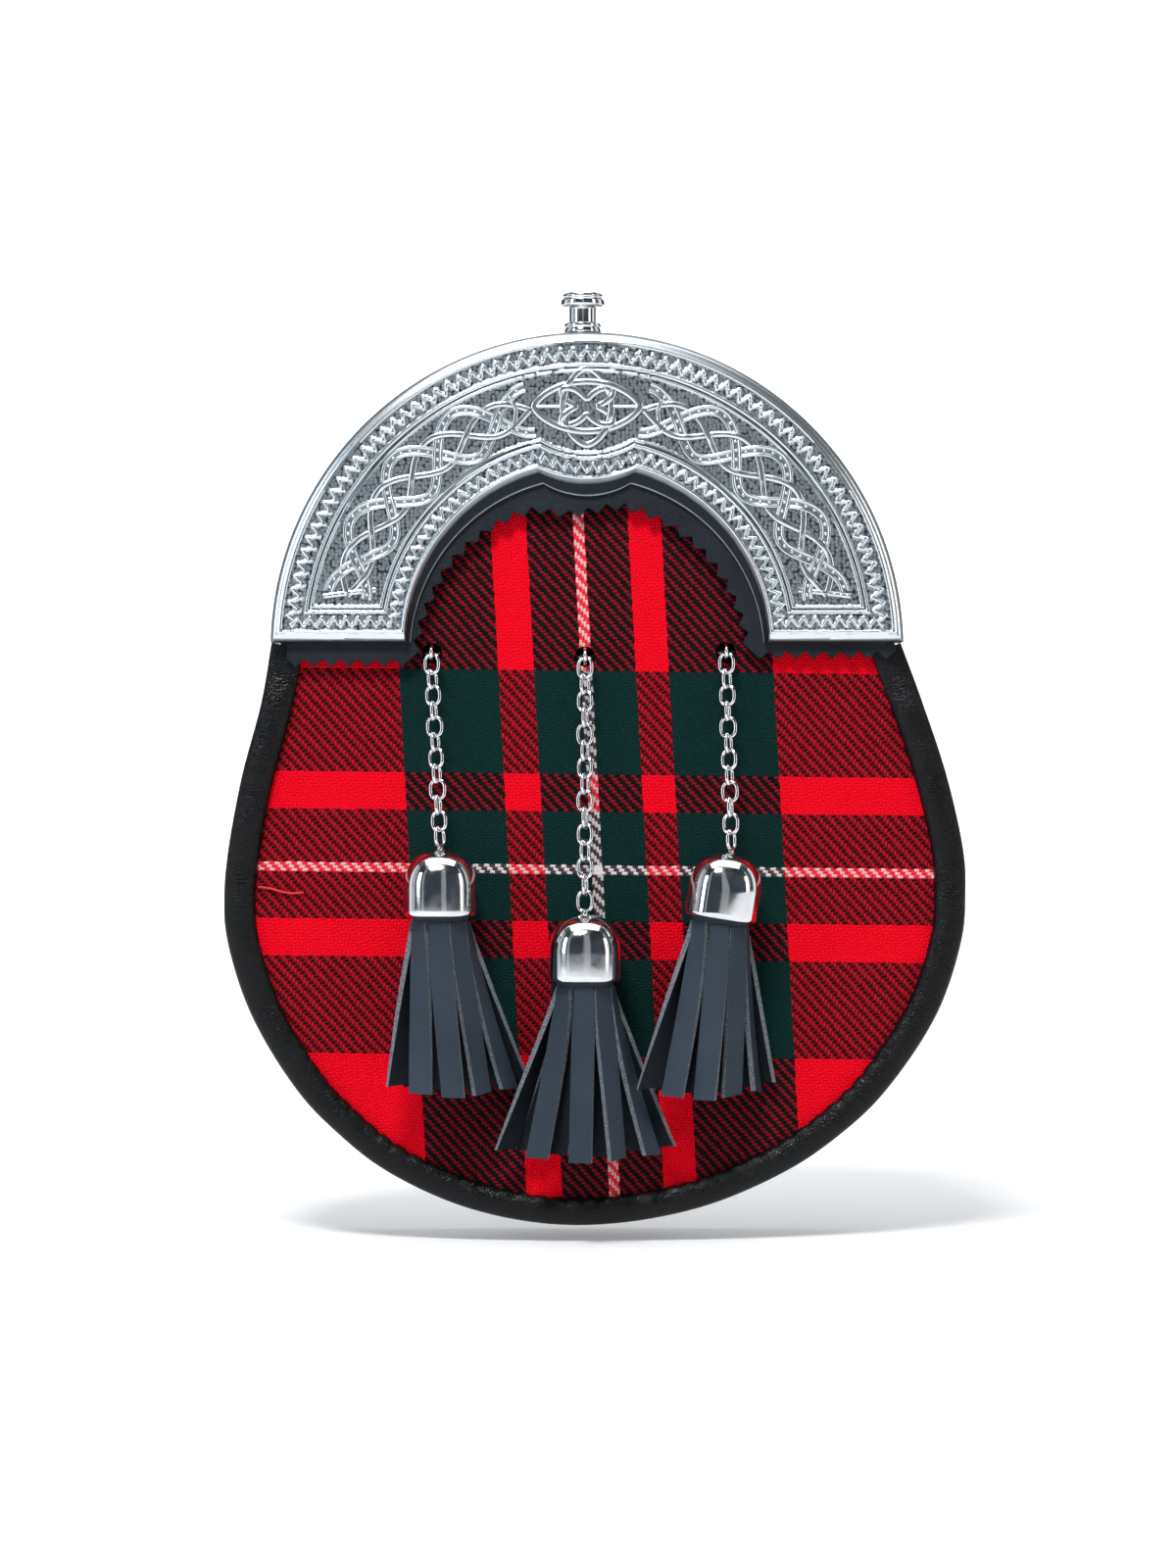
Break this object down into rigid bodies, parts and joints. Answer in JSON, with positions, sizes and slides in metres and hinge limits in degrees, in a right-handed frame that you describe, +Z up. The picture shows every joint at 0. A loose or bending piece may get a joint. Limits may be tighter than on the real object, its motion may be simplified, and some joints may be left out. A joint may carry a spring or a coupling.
{
  "type": "dress sporran pouch",
  "caption": "Dress sporran pouch with a cast metal cantle, tartan face, rolled leather edge, folding gusset and leather tassels hung on chains under polished bells.",
  "frame": {"origin": "midway between the two strap loops on the back panel's outer plane, level with the base of the cantle", "axes": "+Z up along the pouch's height, -Y out through the tartan face, +X to the right of a viewer facing it"},
  "size_m": [0.1855, 0.0461, 0.2336],
  "materials": {
    "cast_metal": "bright plate over cast relief, dark in the recesses",
    "chrome": "polished plate",
    "frame_metal": "satin plated steel",
    "tartan": "red, green and white worsted twill",
    "trim_leather": "matt, pinked edge",
    "edge_leather": "soft gloss, rolled",
    "body_leather": "fine grain, satin",
    "strip_leather": "smooth matt with raw cut edges"
  },
  "bodies": {
    "pouch": {"cantle": "cast_metal", "clasp_collar": "chrome", "back_frame": "frame_metal", "hinge_pin_left": "frame_metal", "hinge_pin_right": "frame_metal", "cantle_trim": "trim_leather", "front_panel": "tartan", "edge_binding": "edge_leather", "gusset": "body_leather", "back_panel": "body_leather", "strap_loop_left": "body_leather", "strap_loop_right": "body_leather", "chain_left": "chrome", "bell_left": "chrome", "tassel_left": "strip_leather", "chain_middle": "chrome", "bell_middle": "chrome", "tassel_middle": "strip_leather", "chain_right": "chrome", "bell_right": "chrome", "tassel_right": "strip_leather"},
    "knob": {"clasp_knob": "chrome"}
  },
  "joints": [
    {"name": "knob_press", "type": "slide", "parent": "pouch", "child": "knob", "axis": [0, 0, -1], "range_m": [0, 0.003], "stiffness_N_per_m": 800, "springref_m": -0.001}
  ]
}
